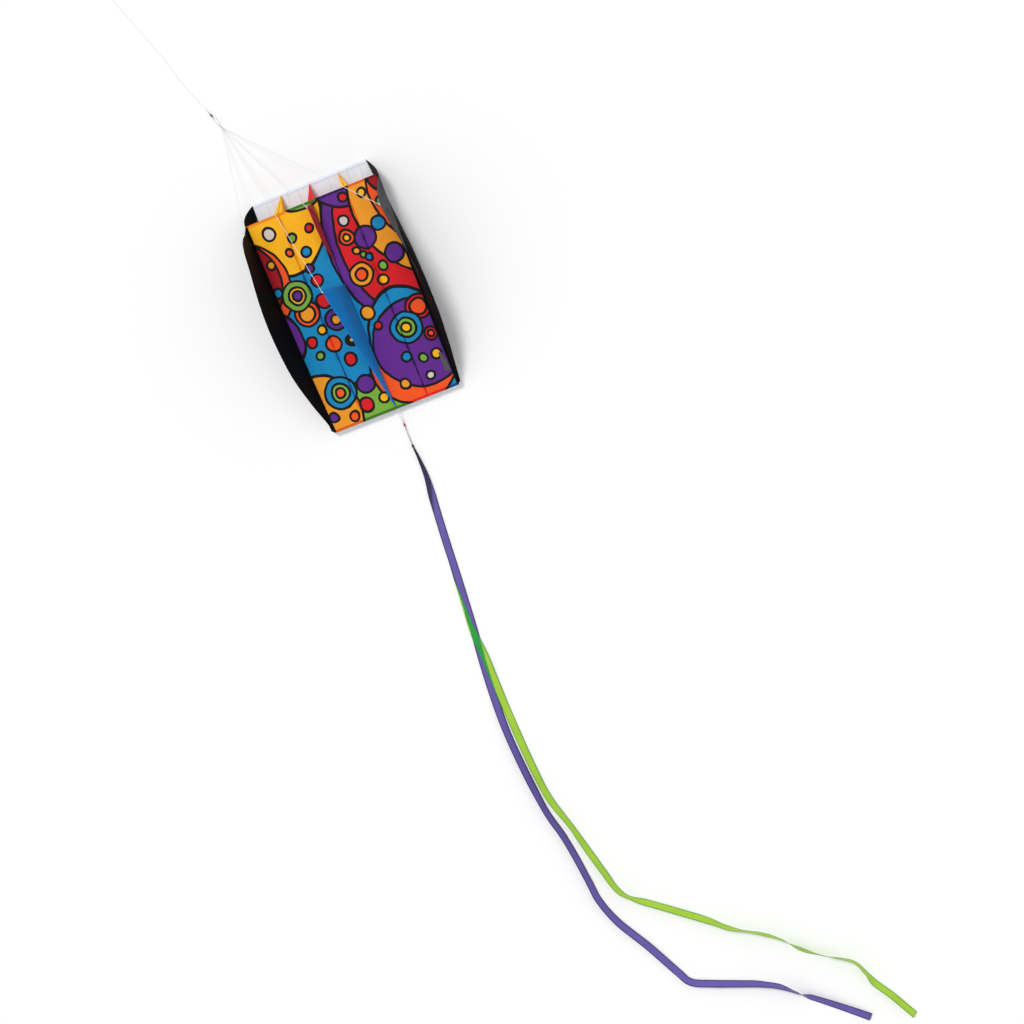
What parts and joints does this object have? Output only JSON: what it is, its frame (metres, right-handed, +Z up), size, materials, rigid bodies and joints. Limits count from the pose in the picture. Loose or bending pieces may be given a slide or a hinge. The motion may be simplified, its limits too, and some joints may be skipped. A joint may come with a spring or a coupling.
{
  "type": "parafoil kite",
  "caption": "Soft frameless kite with open-nosed cells, side flares, keels, a cord bridle on a snap swivel and ribbon tails on a swivel, lying on its back.",
  "frame": {"origin": "centre of the flat stretch of the back panel, where the kite lies on the floor", "axes": "+X across the span to the right, +Y along the chord towards the open leading edge, +Z up out of the printed belly"},
  "size_m": [0.956, 3.0604, 0.1724],
  "materials": {
    "back_cloth": "plain ripstop, pale lavender white",
    "belly_print": "printed ripstop in many colours with black outlines",
    "black_cloth": "plain black ripstop with a soft sheen",
    "yellow_cloth": "plain ripstop, warm yellow",
    "red_cloth": "plain ripstop, red",
    "blue_cloth": "plain ripstop, blue",
    "tag_cloth": "woven tape, grey, blank",
    "white_cord": "braided cord, white",
    "leader_cord": "braided cord, dark grey",
    "snap_steel": "bright steel wire",
    "barrel_metal": "blackened brass",
    "red_metal": "red anodised",
    "pink_wire": "pink tinted steel wire",
    "purple_ribbon": "plain ripstop ribbon, purple",
    "green_ribbon": "plain ripstop ribbon, lime green"
  },
  "bodies": {
    "canopy": {"back_panel": "back_cloth", "belly_panel": "belly_print", "side_wall_left": "black_cloth", "side_wall_right": "black_cloth", "rib_left": "yellow_cloth", "rib_centre": "red_cloth", "rib_right": "yellow_cloth", "flare_left": "black_cloth", "flare_right": "black_cloth", "front_keel": "red_cloth", "rear_keel": "blue_cloth", "label_tag": "tag_cloth", "loop_flare_left": "white_cord", "loop_flare_right": "white_cord", "loop_front_keel": "white_cord", "loop_rear_keel": "white_cord", "leg_flare_left": "white_cord", "leg_flare_right": "white_cord", "leg_front_keel": "white_cord", "leg_rear_keel": "white_cord", "bridle_knot": "white_cord", "tow_loop": "white_cord", "tail_loop": "white_cord"},
    "snap": {"snap_hook": "snap_steel"},
    "gate": {"snap_gate": "snap_steel"},
    "tow_eye": {"swivel_eye_snap": "snap_steel"},
    "tow_barrel": {"swivel_barrel": "barrel_metal"},
    "line_eye": {"swivel_eye_line": "snap_steel"},
    "line": {"line_tie": "white_cord", "flying_line": "white_cord", "line_end_knot": "white_cord", "line_end_loop": "white_cord"},
    "tail_front": {"tail_eye_front": "pink_wire"},
    "tail_swivel": {"tail_barrel": "red_metal"},
    "tail_rear": {"tail_eye_rear": "pink_wire"},
    "tail_cord": {"tail_leader": "leader_cord", "tail_knot": "purple_ribbon"},
    "purple_tail": {"ribbon_purple": "purple_ribbon"},
    "green_tail": {"ribbon_green": "green_ribbon"}
  },
  "joints": [
    {"name": "snap_swing", "type": "hinge", "parent": "canopy", "child": "snap", "pos_m": [-0.15616, 0.50519, 0.0032], "axis": [0, 0, 1], "range_deg": [-35, 35]},
    {"name": "gate_open", "type": "hinge", "parent": "snap", "child": "gate", "pos_m": [-0.15772, 0.51942, 0.0032], "axis": [0, 0, 1], "range_deg": [0, 28], "stiffness_Nm_per_rad": 0.004},
    {"name": "swivel_swing", "type": "hinge", "parent": "snap", "child": "tow_eye", "pos_m": [-0.16174, 0.52051, 0.0032], "axis": [0, 0, 1], "range_deg": [-35, 35]},
    {"name": "barrel_spin", "type": "hinge", "parent": "tow_eye", "child": "tow_barrel", "pos_m": [-0.16423, 0.52737, 0.0032], "axis": [-0.342, 0.9397, 0], "continuous": true},
    {"name": "line_eye_spin", "type": "hinge", "parent": "tow_barrel", "child": "line_eye", "pos_m": [-0.16697, 0.53489, 0.0032], "axis": [-0.342, 0.9397, 0], "continuous": true},
    {"name": "line_lift", "type": "hinge", "parent": "line_eye", "child": "line", "pos_m": [-0.168, 0.53771, 0.0032], "axis": [0.9397, 0.342, 0], "range_deg": [0, 70]},
    {"name": "tail_swing", "type": "hinge", "parent": "canopy", "child": "tail_front", "pos_m": [0, -0.3303, 0.0044], "axis": [0, 0, 1], "range_deg": [-40, 40]},
    {"name": "tail_barrel_spin", "type": "hinge", "parent": "tail_front", "child": "tail_swivel", "pos_m": [0, -0.336, 0.0044], "axis": [0, -1, 0], "continuous": true},
    {"name": "tail_spin", "type": "hinge", "parent": "tail_swivel", "child": "tail_rear", "pos_m": [0, -0.344, 0.0044], "axis": [0, -1, 0], "continuous": true},
    {"name": "tail_lift", "type": "hinge", "parent": "tail_rear", "child": "tail_cord", "pos_m": [0, -0.347, 0.0044], "axis": [-1, 0, 0], "range_deg": [0, 70]},
    {"name": "purple_sway", "type": "hinge", "parent": "tail_cord", "child": "purple_tail", "pos_m": [0, -0.395, 0.0033], "axis": [0, 0, 1], "range_deg": [-12, 12]},
    {"name": "green_sway", "type": "hinge", "parent": "tail_cord", "child": "green_tail", "pos_m": [0, -0.395, 0.0033], "axis": [0, 0, 1], "range_deg": [-12, 12]}
  ]
}
